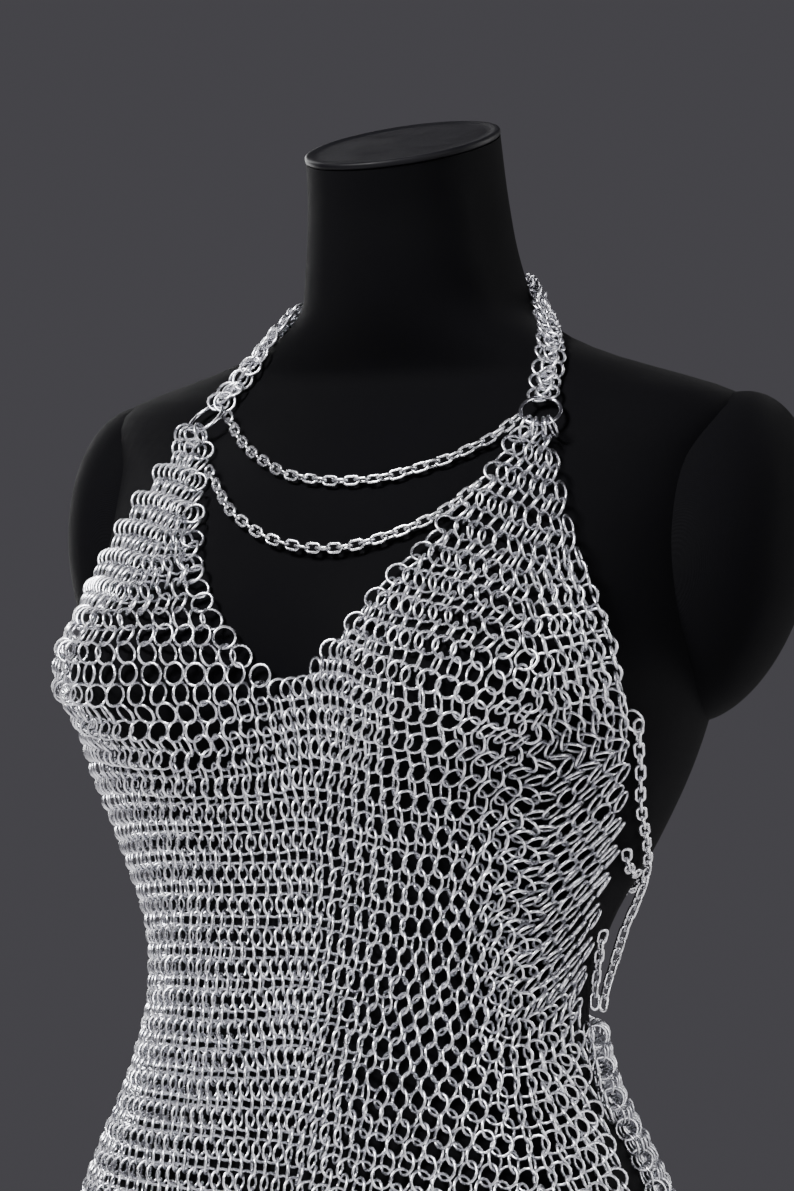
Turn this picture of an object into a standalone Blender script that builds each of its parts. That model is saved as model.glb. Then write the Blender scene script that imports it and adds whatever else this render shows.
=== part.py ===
"""A chainmail halter dress on a limbless dress form that stands on a pole.

Metres, +Z up. The dress faces -Y and the wearer's left is +X. The origin is the middle of the stand's
underside. The form, the mail panels, the straps and the chains all follow one body surface, which is
worked out from a short table of level sections, so a size is changed in that table alone.
"""

import math
from collections import namedtuple

import bmesh
import bpy
from mathutils import Matrix, Vector

# ---------------------------------------------------------------- the body surface
# One level section a row: its height, its half width, its depth before and behind its own middle, how far
# that middle is behind the axis, and its squareness (2 is an ellipse).
Section = namedtuple("Section", "z half front back shift square")
TORSO = [
    Section(*row)
    for row in (
        # z     half   front  back   shift   square
        (0.770, 0.148, 0.102, 0.110, 0.006, 2.20),
        (0.776, 0.154, 0.107, 0.116, 0.006, 2.20),
        (0.800, 0.162, 0.112, 0.122, 0.006, 2.25),
        (0.860, 0.166, 0.114, 0.126, 0.004, 2.30),
        (0.910, 0.157, 0.108, 0.119, 0.001, 2.30),
        (0.960, 0.137, 0.100, 0.102, -0.002, 2.25),
        (1.000, 0.118, 0.091, 0.088, -0.004, 2.20),
        (1.040, 0.109, 0.084, 0.082, -0.001, 2.20),
        (1.080, 0.117, 0.084, 0.086, 0.008, 2.20),
        (1.120, 0.137, 0.090, 0.092, 0.016, 2.25),
        (1.160, 0.154, 0.096, 0.101, 0.017, 2.30),
        (1.200, 0.162, 0.100, 0.106, 0.020, 2.35),
        (1.240, 0.161, 0.097, 0.104, 0.026, 2.40),
        (1.280, 0.160, 0.086, 0.094, 0.034, 2.40),
        (1.310, 0.162, 0.068, 0.080, 0.042, 2.40),
        (1.330, 0.167, 0.052, 0.066, 0.046, 2.40),
        (1.342, 0.161, 0.047, 0.060, 0.049, 2.30),
        (1.352, 0.135, 0.045, 0.058, 0.052, 2.20),
        (1.362, 0.104, 0.047, 0.058, 0.050, 2.10),
        (1.372, 0.081, 0.050, 0.058, 0.047, 2.00),
        (1.385, 0.063, 0.054, 0.059, 0.045, 2.00),
        (1.405, 0.056, 0.054, 0.057, 0.040, 2.00),
        (1.440, 0.051, 0.050, 0.052, 0.033, 2.00),
        (1.468, 0.049, 0.049, 0.050, 0.028, 2.00),
    )
]
HIP_Z = 0.860  # below the fullest hip the mail leaves the form and hangs
HANGING = [
    Section(*row)
    for row in (
        (0.640, 0.167, 0.119, 0.130, 0.004, 2.20),
        (0.720, 0.168, 0.118, 0.130, 0.004, 2.22),
        (0.800, 0.168, 0.116, 0.128, 0.004, 2.26),
    )
]
DRESS = HANGING + [row for row in TORSO if row.z >= HIP_Z]

BUST_ANGLE = 40.0  # degrees from the middle front to each bust point
BUST_Z = 1.204
BUST_HEIGHT = 0.044
BUST_WIDTH = 20.0  # degrees
BUST_ABOVE = 0.047
BUST_BELOW = 0.037

SHOULDER_ANGLE = 104.0  # degrees from the middle front to the fullest of each shoulder
SHOULDER_Z = 1.337
SHOULDER_OUT = 0.0145
SHOULDER_WIDTH = 20.0  # degrees
SHOULDER_ABOVE = 0.019
SHOULDER_BELOW = 0.130

NECK_TILT = math.radians(17.5)  # the neck's flat top leans forward
NECK_LEAN_FROM = 1.425
NECK_TOP = 1.468

# Soft folds of the hanging mail: where each one stands round the body, how wide it is and how deep.
Fold = namedtuple("Fold", "angle width depth")
FOLDS = [
    Fold(-118, 12, 0.0060),
    Fold(-70, 11, 0.0050),
    Fold(-33, 9, 0.0035),
    Fold(9, 13, 0.0060),
    Fold(44, 8, 0.0030),
    Fold(71, 10, 0.0055),
    Fold(112, 10, 0.0050),
    Fold(147, 12, 0.0045),
    Fold(186, 10, 0.0060),
    Fold(-146, 9, 0.0035),
]
FOLDS_FROM = 0.850
FOLDS_FULL = 0.700

# ---------------------------------------------------------------- the mail
MAIL_GAP = 0.003  # from the form to the inside of the mail
MAIL_WALL = 0.003
SEAM = 0.0003  # between neighbouring pieces
WAIST_Z = 1.034
UNDERBUST_Z = 1.160
CLEAVAGE_Z = 1.197  # the lowest point of the V neckline
CUP_TOP_Z = 1.3205
JOIN_FOOT_Z = 0.985  # the side slits start here
HEM_Z = 0.660
HALF_COLUMNS = 14

# The edges of the panels: an angle from the middle front at each height.
Edge = namedtuple("Edge", "z angle")
NECKLINE = [
    Edge(1.197, 0.0),
    Edge(1.203, 7.0),
    Edge(1.220, 16.5),
    Edge(1.235, 22.5),
    Edge(1.250, 28.5),
    Edge(1.265, 35.5),
    Edge(1.285, 44.0),
    Edge(1.300, 51.0),
    Edge(1.321, 59.0),
]
FRONT_SIDE = [
    Edge(0.660, 88.0),
    Edge(0.900, 88.0),
    Edge(0.950, 87.5),
    Edge(0.970, 88.0),
    Edge(0.985, 90.5),
    Edge(1.034, 92.0),
    Edge(1.050, 91.0),
    Edge(1.070, 88.5),
    Edge(1.090, 85.0),
    Edge(1.110, 81.5),
    Edge(1.144, 77.5),
    Edge(1.186, 72.5),
    Edge(1.200, 70.5),
    Edge(1.230, 67.0),
    Edge(1.255, 64.5),
    Edge(1.280, 63.0),
    Edge(1.300, 63.0),
    Edge(1.321, 64.0),
]
BACK_SIDE = [
    Edge(0.660, 95.0),
    Edge(0.900, 94.5),
    Edge(0.950, 94.0),
    Edge(0.970, 94.0),
    Edge(0.985, 94.0),
    Edge(1.034, 95.5),
]

# ---------------------------------------------------------------- straps, rings and chains
O_RING_ANGLE = 63.0
O_RING_Z = 1.3275
O_RING_RADIUS = 0.0099  # to the middle of the wire
O_RING_WIRE = 0.0011
O_RING_LIFT = 0.0070
O_RING_FACING = Vector((0.26, -0.64, 0.72))  # square to the wearer's left ring; the right one mirrors it
STRAP_WIDTH = 0.015
STRAP_LIFT = 0.0060  # from the form to the middle of the strap
NAPE_Z = 1.401
NAPE_RADIUS = 0.0048
NAPE_WIRE = 0.0008
CHAIN_RADIUS = 0.0029

# A route's points: the angle round the body, the height, and how far off the form.
Stop = namedtuple("Stop", "angle z lift")
LEFT_STRAP = [
    Stop(63.0, 1.3275, 0.0065),
    Stop(66.0, 1.3452, 0.0056),
    Stop(69.0, 1.3560, 0.0050),
    Stop(74.2, 1.3660, 0.0048),
    Stop(84.5, 1.3752, 0.0048),
    Stop(97.0, 1.3835, 0.0050),
    Stop(109.0, 1.3900, 0.0052),
    Stop(128.0, 1.3968, 0.0055),
    Stop(153.0, 1.4005, 0.0060),
    Stop(180.0, 1.4010, 0.0060),
]
RIGHT_STRAP = [
    Stop(63.0, 1.3275, 0.0065),
    Stop(65.2, 1.3432, 0.0054),
    Stop(66.4, 1.3520, 0.0050),
    Stop(67.0, 1.3610, 0.0048),
    Stop(67.6, 1.3685, 0.0048),
    Stop(70.5, 1.3750, 0.0048),
    Stop(79.0, 1.3815, 0.0050),
    Stop(94.0, 1.3870, 0.0052),
    Stop(118.0, 1.3945, 0.0055),
    Stop(150.0, 1.4000, 0.0060),
    Stop(180.0, 1.4010, 0.0060),
]
UPPER_DRAPE = [
    Stop(-59.0, 1.3288, 0.0056),
    Stop(-50.0, 1.3184, 0.0044),
    Stop(-41.0, 1.3109, 0.0040),
    Stop(-30.7, 1.3042, 0.0040),
    Stop(-23.0, 1.2999, 0.0040),
    Stop(-15.7, 1.2978, 0.0040),
    Stop(-3.0, 1.2957, 0.0040),
    Stop(9.0, 1.2958, 0.0040),
    Stop(18.0, 1.2968, 0.0040),
    Stop(25.4, 1.2994, 0.0040),
    Stop(33.0, 1.3028, 0.0040),
    Stop(39.2, 1.3062, 0.0040),
    Stop(45.4, 1.3111, 0.0042),
    Stop(51.0, 1.3159, 0.0045),
    Stop(58.0, 1.3246, 0.0056),
]
LOWER_DRAPE = [
    Stop(-48.0, 1.3010, 0.0062),
    Stop(-42.0, 1.2935, 0.0048),
    Stop(-36.5, 1.2868, 0.0045),
    Stop(-30.0, 1.2795, 0.0045),
    Stop(-18.2, 1.2693, 0.0046),
    Stop(-8.0, 1.2645, 0.0050),
    Stop(3.0, 1.2626, 0.0052),
    Stop(13.0, 1.2635, 0.0050),
    Stop(23.0, 1.2677, 0.0046),
    Stop(31.2, 1.2733, 0.0045),
    Stop(36.6, 1.2790, 0.0045),
    Stop(40.7, 1.2843, 0.0048),
    Stop(45.6, 1.2915, 0.0062),
]
SIDE_CHAIN = [
    Stop(74.3, 1.1825, 0.0040),
    Stop(75.6, 1.1725, 0.0036),
    Stop(77.8, 1.1590, 0.0036),
    Stop(79.4, 1.1490, 0.0036),
    Stop(81.6, 1.1395, 0.0036),
    Stop(85.2, 1.1300, 0.0036),
    Stop(88.2, 1.1235, 0.0036),
    Stop(92.8, 1.1149, 0.0038),
    Stop(97.5, 1.1062, 0.0046),
    Stop(100.0, 1.0975, 0.0060),
    Stop(101.3, 1.0897, 0.0068),
    Stop(102.7, 1.0805, 0.0070),
    Stop(104.0, 1.0707, 0.0076),
    Stop(104.6, 1.0590, 0.0080),
    Stop(104.4, 1.0500, 0.0076),
    Stop(103.6, 1.0390, 0.0070),
]
SIDE_LINK = [
    Stop(81.6, 1.1210, 0.0040),
    Stop(85.0, 1.1130, 0.0036),
    Stop(89.5, 1.1090, 0.0036),
    Stop(93.2, 1.1075, 0.0036),
]
SIDE_LACE = [
    Stop(89.6, 1.0805, 0.0046),
    Stop(92.2, 1.0720, 0.0038),
    Stop(94.8, 1.0650, 0.0036),
    Stop(97.2, 1.0570, 0.0036),
    Stop(98.8, 1.0480, 0.0038),
    Stop(99.4, 1.0390, 0.0044),
]
BACK_CHAIN_HALF = [
    Stop(105.8, 1.1035, 0.0036),
    Stop(112.0, 1.0990, 0.0036),
    Stop(124.0, 1.0930, 0.0036),
    Stop(141.0, 1.0880, 0.0038),
    Stop(160.0, 1.0855, 0.0040),
]
BACK_CHAIN_MIDDLE = Stop(180.0, 1.0850, 0.0040)

# ---------------------------------------------------------------- the form's fittings and the stand
TORSO_COLUMNS = 44
TORSO_STEP = 0.024  # between the torso's level rings
CAP_THICK = 0.0038
CAP_OVER = 0.0004  # how far the neck cap's rim stands out past the neck
ARM_MIDDLE = Vector((0.161, 0.056, 1.261))
ARM_SIZE = Vector((0.046, 0.053, 0.082))  # half sizes of the rounded stub
ARM_LEAN = Vector((0.15, 0.08))  # how far the stub leans outward and back for its height
ARM_GAP = 0.0006
POLE_RADIUS = 0.0125
COLLAR_RADIUS = 0.030
COLLAR_HEIGHT = 0.022
BASE_RADIUS = 0.165
BASE_EDGE = 0.008
BASE_HEIGHT = 0.020
BASE_HUB = 0.024


def along(rows, column, z):
    """The value of a table's column at height z, on a smooth curve through its rows."""
    z = min(max(z, rows[0].z), rows[-1].z)
    last = len(rows) - 1
    i = 0
    while i < last - 1 and rows[i + 1].z < z:
        i += 1

    def slope(j):
        before, after = rows[max(j - 1, 0)], rows[min(j + 1, last)]
        here = rows[j]
        slopes = [
            (getattr(b, column) - getattr(a, column)) / (b.z - a.z)
            for a, b in ((before, here), (here, after))
            if b.z > a.z
        ]
        return sum(slopes) / len(slopes)

    low, high = rows[i], rows[i + 1]
    span = high.z - low.z
    t = (z - low.z) / span
    start, end = getattr(low, column), getattr(high, column)
    return (
        (2 * t**3 - 3 * t**2 + 1) * start
        + (t**3 - 2 * t**2 + t) * span * slope(i)
        + (3 * t**2 - 2 * t**3) * end
        + (t**3 - t**2) * span * slope(i + 1)
    )


def straight(rows, z):
    """The angle of an edge at height z, on straight lines between its rows."""
    for low, high in zip(rows, rows[1:]):
        if z <= high.z:
            t = max(0.0, (z - low.z) / (high.z - low.z))
            return low.angle + t * (high.angle - low.angle)
    return rows[-1].angle


def round_the_body(angle):
    """An angle in degrees brought between -180 and 180."""
    return (angle + 180) % 360 - 180


def stand_out(angle, z, middle, width, height, above, below):
    """A soft rise on both sides of the body, as a share of its full height."""
    level = math.exp(-(((z - height) / (above if z > height else below)) ** 2))
    return level * sum(
        math.exp(-((round_the_body(angle - side * middle) / width) ** 2)) for side in (1, -1)
    )


def bust(angle, z):
    """How far the two bust forms stand out of the section."""
    return BUST_HEIGHT * stand_out(
        angle, z, BUST_ANGLE, BUST_WIDTH, BUST_Z, BUST_ABOVE, BUST_BELOW
    )


def shoulders(angle, z):
    """How far the shoulders and the sides below them stand out of the section."""
    return SHOULDER_OUT * stand_out(
        angle, z, SHOULDER_ANGLE, SHOULDER_WIDTH, SHOULDER_Z, SHOULDER_ABOVE, SHOULDER_BELOW
    )


def folds(angle, z):
    """How far the hanging mail's soft folds stand out, growing towards the hem."""
    t = min(max((FOLDS_FROM - z) / (FOLDS_FROM - FOLDS_FULL), 0.0), 1.0)
    ease = t * t * (3 - 2 * t)
    return ease * sum(
        fold.depth * math.exp(-((round_the_body(angle - fold.angle) / fold.width) ** 2))
        for fold in FOLDS
    )


def on_surface(rows, angle, z):
    """The point of the surface at an angle from the middle front towards the wearer's left."""
    sine, cosine = math.sin(math.radians(angle)), math.cos(math.radians(angle))
    half = along(rows, "half", z)
    depth = along(rows, "front" if cosine > 0 else "back", z)
    square = along(rows, "square", z)
    radius = (abs(sine / half) ** square + abs(cosine / depth) ** square) ** (-1 / square)
    radius += bust(angle, z) + shoulders(angle, z)
    if rows is DRESS:
        radius += folds(angle, z)
    return Vector((radius * sine, along(rows, "shift", z) - radius * cosine, z))


def out_of_surface(rows, angle, z):
    """The outward direction square to the surface."""
    step_angle, step_z = 0.05, 0.0002
    round_it = on_surface(rows, angle + step_angle, z) - on_surface(rows, angle - step_angle, z)
    up_it = on_surface(rows, angle, z + step_z) - on_surface(rows, angle, z - step_z)
    return round_it.cross(up_it).normalized()


def off_surface(rows, angle, z, lift):
    """A point lifted off the surface."""
    return on_surface(rows, angle, z) + lift * out_of_surface(rows, angle, z)


def smooth_route(points, step):
    """Points about a step apart on a smooth curve through a route's own points."""
    ends = [2 * points[0] - points[1]] + points + [2 * points[-1] - points[-2]]
    line = [points[0]]
    for before, start, end, after in zip(ends, ends[1:], ends[2:], ends[3:]):
        count = max(1, round((end - start).length / step))
        for k in range(1, count + 1):
            t = k / count
            line.append(
                0.5
                * (
                    2 * start
                    + (end - before) * t
                    + (2 * before - 5 * start + 4 * end - after) * t**2
                    + (3 * start - before - 3 * end + after) * t**3
                )
            )
    return line


# ---------------------------------------------------------------- making objects
def material(name, colour, roughness, metallic=0.0):
    made = bpy.data.materials.new(name)
    made.use_nodes = True
    shader = made.node_tree.nodes["Principled BSDF"]
    shader.inputs["Base Color"].default_value = (*colour, 1.0)
    shader.inputs["Roughness"].default_value = roughness
    shader.inputs["Metallic"].default_value = metallic
    return made


def add_mesh(name, bm, finish, parent, smooth_angle=35):
    """Turn a bmesh into a named object, with its faces pointing out."""
    bmesh.ops.recalc_face_normals(bm, faces=bm.faces)
    mesh = bpy.data.meshes.new(name)
    bm.to_mesh(mesh)
    bm.free()
    mesh.shade_smooth()
    mesh.set_sharp_from_angle(angle=math.radians(smooth_angle))
    made = bpy.data.objects.new(name, mesh)
    made.data.materials.append(finish)
    made.parent = parent
    bpy.context.collection.objects.link(made)
    return made


def loft(rings, endless=False):
    """A bmesh through rings of points: capped at both ends, or endless like a torus."""
    bm = bmesh.new()
    rows = [[bm.verts.new(point) for point in ring] for ring in rings]
    around = len(rows[0])
    for low, high in zip(rows, rows[1:] + rows[:1] if endless else rows[1:]):
        for i in range(around):
            j = (i + 1) % around
            bm.faces.new((low[i], low[j], high[j]))
            bm.faces.new((low[i], high[j], high[i]))
    if not endless:
        bm.faces.new(rows[0])
        bm.faces.new(rows[-1])
    return bm


def turned(profile, steps=40):
    """A bmesh of a closed profile of (radius, height) pairs turned about +Z."""
    bm = bmesh.new()
    points = [bm.verts.new((radius, 0.0, z)) for radius, z in profile]
    edges = [bm.edges.new(pair) for pair in zip(points, points[1:])]
    bmesh.ops.spin(
        bm,
        geom=points + edges,
        angle=math.tau,
        steps=steps,
        axis=(0.0, 0.0, 1.0),
        cent=(0.0, 0.0, 0.0),
        use_merge=True,
    )
    bmesh.ops.remove_doubles(bm, verts=bm.verts, dist=1e-6)
    return bm


# ---------------------------------------------------------------- the form
def torso_heights():
    """The heights of the torso's level rings, closer where the sections change fast."""
    heights = []
    for low, high in zip(TORSO, TORSO[1:]):
        count = max(1, round((high.z - low.z) / TORSO_STEP))
        heights += [low.z + (high.z - low.z) * k / count for k in range(count)]
    return heights + [TORSO[-1].z]


def leaned(point, z):
    """A neck point raised or lowered so that the neck's top leans forward."""
    share = min(max((z - NECK_LEAN_FROM) / (NECK_TOP - NECK_LEAN_FROM), 0.0), 1.0)
    rise = math.tan(NECK_TILT) * (point.y - along(TORSO, "shift", z)) * share
    return point + Vector((0.0, 0.0, rise))


def torso_rings(lift=0.0):
    angles = [360.0 * k / TORSO_COLUMNS for k in range(TORSO_COLUMNS)]
    return [
        [leaned(off_surface(TORSO, angle, z, lift), z) for angle in angles]
        for z in torso_heights()
    ]


def add_torso(finish, parent):
    add_mesh("form_torso", loft(torso_rings()), finish, parent)


def add_neck_cap(finish, parent):
    """The flat plate that closes the neck, with a thin rim that stands out a little."""
    top = TORSO[-1]
    tilt = Matrix.Rotation(NECK_TILT, 4, "X")
    place = Matrix.Translation((0.0, top.shift, top.z)) @ tilt
    half = top.half + CAP_OVER
    depth = (top.front + top.back) / 2 / math.cos(NECK_TILT) + CAP_OVER
    edge = 0.0008
    levels = ((SEAM, 1.0), (CAP_THICK - edge, 1.0), (CAP_THICK, 1.0 - edge / half))
    rings = []
    for height, share in levels:
        ring = [
            Vector((half * share * math.sin(a), -depth * share * math.cos(a), height))
            for a in (math.tau * k / TORSO_COLUMNS for k in range(TORSO_COLUMNS))
        ]
        rings.append([place @ point for point in ring])
    add_mesh("form_neck_cap", loft(rings), finish, parent)


def add_arm(name, side, cutter, finish, parent):
    """A short rounded stub of the shoulder, cut to sit against the torso."""
    bm = bmesh.new()
    bmesh.ops.create_uvsphere(bm, u_segments=24, v_segments=14, radius=1.0)
    for vert in bm.verts:
        place = Vector(ARM_SIZE[k] * vert.co[k] for k in range(3))
        place += Vector((side * ARM_LEAN.x, ARM_LEAN.y, 0.0)) * place.z
        vert.co = Vector((side * ARM_MIDDLE.x, ARM_MIDDLE.y, ARM_MIDDLE.z)) + place
    arm = add_mesh(name, bm, finish, parent)
    cut = arm.modifiers.new("fit_to_torso", "BOOLEAN")
    cut.operation = "DIFFERENCE"
    cut.solver = "EXACT"
    cut.object = cutter


def add_stand(finish, parent):
    foot = TORSO[0].z
    collar_foot = foot - SEAM - COLLAR_HEIGHT
    collar = [
        (0.0, collar_foot),
        (POLE_RADIUS * 1.6, collar_foot),
        (POLE_RADIUS * 1.8, collar_foot + COLLAR_HEIGHT * 0.6),
        (COLLAR_RADIUS, collar_foot + COLLAR_HEIGHT * 0.75),
        (COLLAR_RADIUS, foot - SEAM),
        (0.0, foot - SEAM),
    ]
    pole = [
        (0.0, BASE_HUB + SEAM),
        (POLE_RADIUS, BASE_HUB + SEAM),
        (POLE_RADIUS, collar_foot - SEAM),
        (0.0, collar_foot - SEAM),
    ]
    base = [(0.0, 0.0), (BASE_RADIUS - 0.002, 0.0), (BASE_RADIUS, 0.002), (BASE_RADIUS, BASE_EDGE)]
    for share in (0.95, 0.75, 0.45, 0.2):
        rise = (BASE_HEIGHT - BASE_EDGE) * math.sqrt(1 - share**2)
        base.append((BASE_RADIUS * share, BASE_EDGE + rise))
    base += [(POLE_RADIUS * 1.8, BASE_HUB), (0.0, BASE_HUB)]
    add_mesh("stand_collar", turned(collar, 32), finish, parent)
    add_mesh("stand_pole", turned(pole, 24), finish, parent)
    add_mesh("stand_base", turned(base, 48), finish, parent)


# ---------------------------------------------------------------- the mail panels
def wall(name, heights, inner, outer, columns, side, finish, parent):
    """A mail panel: a wall between two edges, each an angle at a height.

    The panel is drawn on the wearer's left, and side -1 mirrors it to the right.
    """
    layers = []
    for lift in (MAIL_GAP, MAIL_GAP + MAIL_WALL):
        grid = []
        for z in heights:
            start, end = inner(z), outer(z)
            row = []
            for k in range(columns + 1):
                angle = side * (start + (end - start) * k / columns)
                row.append(off_surface(DRESS, angle, z, lift))
            grid.append(row)
        layers.append(grid)
    bm = bmesh.new()
    inside, outside = [
        [[bm.verts.new(point) for point in row] for row in grid] for grid in layers
    ]
    for grid in (inside, outside):
        for low, high in zip(grid, grid[1:]):
            for k in range(columns):
                bm.faces.new((low[k], low[k + 1], high[k + 1], high[k]))
    rim_in = inside[0] + [row[-1] for row in inside[1:]]
    rim_in += inside[-1][-2::-1] + [row[0] for row in inside[-2:0:-1]]
    rim_out = outside[0] + [row[-1] for row in outside[1:]]
    rim_out += outside[-1][-2::-1] + [row[0] for row in outside[-2:0:-1]]
    for k in range(len(rim_in)):
        j = (k + 1) % len(rim_in)
        bm.faces.new((rim_in[k], rim_in[j], rim_out[j], rim_out[k]))
    add_mesh(name, bm, finish, parent)


def levels(low, high, step):
    """Heights from low to high, half a seam inside both, about a step apart."""
    low, high = low + SEAM / 2, high - SEAM / 2
    count = max(1, round((high - low) / step))
    return [low + (high - low) * k / count for k in range(count + 1)]


def skirt_levels():
    return levels(HEM_Z, JOIN_FOOT_Z, 0.032)[:-1] + levels(JOIN_FOOT_Z, WAIST_Z, 0.016)


def add_side_of_front(word, side, finish, parent):
    """The cup, the bodice and the skirt front of one side, which meet at the middle front."""
    seam_angle = 0.12

    def middle(z):
        return max(seam_angle, straight(NECKLINE, z))

    def edge(z):
        return straight(FRONT_SIDE, z)

    cup = levels(UNDERBUST_Z, CLEAVAGE_Z, 0.012)[:-1] + levels(CLEAVAGE_Z, CUP_TOP_Z, 0.0095)
    bodice = levels(WAIST_Z, UNDERBUST_Z, 0.018)
    skirt = skirt_levels()
    for name, heights in (("cup", cup), ("bodice", bodice), ("skirt_front", skirt)):
        wall(f"{name}_{word}", heights, middle, edge, HALF_COLUMNS, side, finish, parent)
    wall(
        f"side_join_{word}",
        levels(JOIN_FOOT_Z, WAIST_Z, 0.016),
        lambda z: straight(FRONT_SIDE, z) + 2 * seam_angle,
        lambda z: straight(BACK_SIDE, z) - 2 * seam_angle,
        1,
        side,
        finish,
        parent,
    )


def add_skirt_back(finish, parent):
    wall(
        "skirt_back",
        skirt_levels(),
        lambda z: straight(BACK_SIDE, z),
        lambda z: 360.0 - straight(BACK_SIDE, z),
        2 * HALF_COLUMNS,
        1,
        finish,
        parent,
    )


# ---------------------------------------------------------------- straps, rings and chains
def route_points(stops, side=1):
    return [off_surface(TORSO, side * stop.angle, stop.z, stop.lift) for stop in stops]


def add_ring(name, middle, out, radius, wire, finish, parent):
    """A round wire ring about its middle, square to the direction out."""
    place = Matrix.Translation(middle)
    turn = out.to_track_quat("Z", "Y").to_matrix().to_4x4()
    sides, steps = 6, 24
    rings = []
    for i in range(steps):
        a = math.tau * i / steps
        ring = []
        for j in range(sides):
            b = math.tau * j / sides
            reach = radius + wire * math.cos(b)
            point = Vector((reach * math.cos(a), reach * math.sin(a), wire * math.sin(b)))
            ring.append(place @ turn @ point)
        rings.append(ring)
    add_mesh(name, loft(rings, endless=True), finish, parent, 60)


def add_strap(name, side, finish, parent):
    """A narrow strip of mail from its large ring, over the shoulder and round behind the neck."""
    line = smooth_route(route_points(LEFT_STRAP if side > 0 else RIGHT_STRAP, side), 0.007)
    first, last = line[0], line[-1]
    ring_reach = O_RING_RADIUS + O_RING_WIRE + SEAM
    nape_reach = NAPE_RADIUS + NAPE_WIRE + SEAM
    line = [
        p
        for p in line
        if (p - first).length > ring_reach + 0.0004 and (p - last).length > nape_reach + 0.0004
    ]
    centre = Vector((0.0, along(TORSO, "shift", NAPE_Z), 0.0))
    rings = []
    for i, point in enumerate(line):
        forward = (line[min(i + 1, len(line) - 1)] - line[max(i - 1, 0)]).normalized()
        away = point - centre
        angle = math.degrees(math.atan2(away.x, -away.y))
        out = out_of_surface(TORSO, angle, min(point.z, TORSO[-1].z))
        across = forward.cross(out).normalized() * (STRAP_WIDTH / 2)
        out = across.cross(forward).normalized() * (MAIL_WALL / 2)
        rings.append(
            [
                point - across - out,
                point + across - out,
                point + across + out,
                point - across + out,
            ]
        )
    add_mesh(name, loft(rings), finish, parent)


def add_chain(name, points, finish, parent):
    """A chain as a plain tube of its reach, on a smooth route."""
    line = smooth_route(points, 0.011)
    curve = bpy.data.curves.new(name, "CURVE")
    curve.dimensions = "3D"
    curve.bevel_depth = CHAIN_RADIUS
    curve.bevel_resolution = 2
    curve.use_fill_caps = True
    spline = curve.splines.new("POLY")
    spline.points.add(len(line) - 1)
    for spot, point in zip(spline.points, line):
        spot.co = (*point, 1.0)
    made = bpy.data.objects.new(name, curve)
    made.data.materials.append(finish)
    made.parent = parent
    bpy.context.collection.objects.link(made)


def add_chains(finish, parent):
    add_chain("drape_chain_upper", route_points(UPPER_DRAPE), finish, parent)
    add_chain("drape_chain_lower", route_points(LOWER_DRAPE), finish, parent)
    for word, side in (("left", 1), ("right", -1)):
        add_chain(f"side_chain_{word}", route_points(SIDE_CHAIN, side), finish, parent)
        add_chain(f"side_link_{word}", route_points(SIDE_LINK, side), finish, parent)
        add_chain(f"side_lace_{word}", route_points(SIDE_LACE, side), finish, parent)
    half = route_points(BACK_CHAIN_HALF)
    other = route_points(BACK_CHAIN_HALF, -1)[::-1]
    add_chain("back_chain", half + route_points([BACK_CHAIN_MIDDLE]) + other, finish, parent)


def main():
    for made in list(bpy.data.objects):
        bpy.data.objects.remove(made, do_unlink=True)
    dress = bpy.data.objects.new("dress_on_form", None)
    bpy.context.collection.objects.link(dress)

    jersey = material("black_jersey", (0.012, 0.012, 0.015), 0.85)
    cap_finish = material("cap_plate", (0.05, 0.048, 0.06), 0.45)
    stand_finish = material("black_steel", (0.02, 0.02, 0.022), 0.4, 0.6)
    mail = material("bright_aluminium", (0.86, 0.86, 0.90), 0.28, 1.0)

    add_torso(jersey, dress)
    add_neck_cap(cap_finish, dress)
    cutter = add_mesh("torso_cutter", loft(torso_rings(ARM_GAP)), jersey, dress)
    cutter.hide_render = True
    cutter.display_type = "WIRE"
    add_arm("form_arm_left", 1, cutter, jersey, dress)
    add_arm("form_arm_right", -1, cutter, jersey, dress)
    add_stand(stand_finish, dress)

    for word, side in (("left", 1), ("right", -1)):
        add_side_of_front(word, side, mail, dress)
        middle = off_surface(TORSO, side * O_RING_ANGLE, O_RING_Z, O_RING_LIFT)
        facing = Vector((side * O_RING_FACING.x, O_RING_FACING.y, O_RING_FACING.z))
        add_ring(f"o_ring_{word}", middle, facing, O_RING_RADIUS, O_RING_WIRE, mail, dress)
        add_strap(f"halter_{word}", side, mail, dress)
    add_skirt_back(mail, dress)
    nape = off_surface(TORSO, 180.0, NAPE_Z, STRAP_LIFT)
    facing = out_of_surface(TORSO, 180.0, NAPE_Z)
    add_ring("nape_ring", nape, facing, NAPE_RADIUS, NAPE_WIRE, mail, dress)
    add_chains(mail, dress)


main()
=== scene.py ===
"""The looks of a chainmail halter dress on a limbless dress form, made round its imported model.

Metres, +Z up. The dress faces -Y and the wearer's left is +X. The sections, edges and routes below hold
the same values as the part's own source, so the pieces lie where the model's solids do.
"""

import math
from collections import namedtuple

import bpy
import numpy as np
from mathutils import Matrix, Vector


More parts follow.
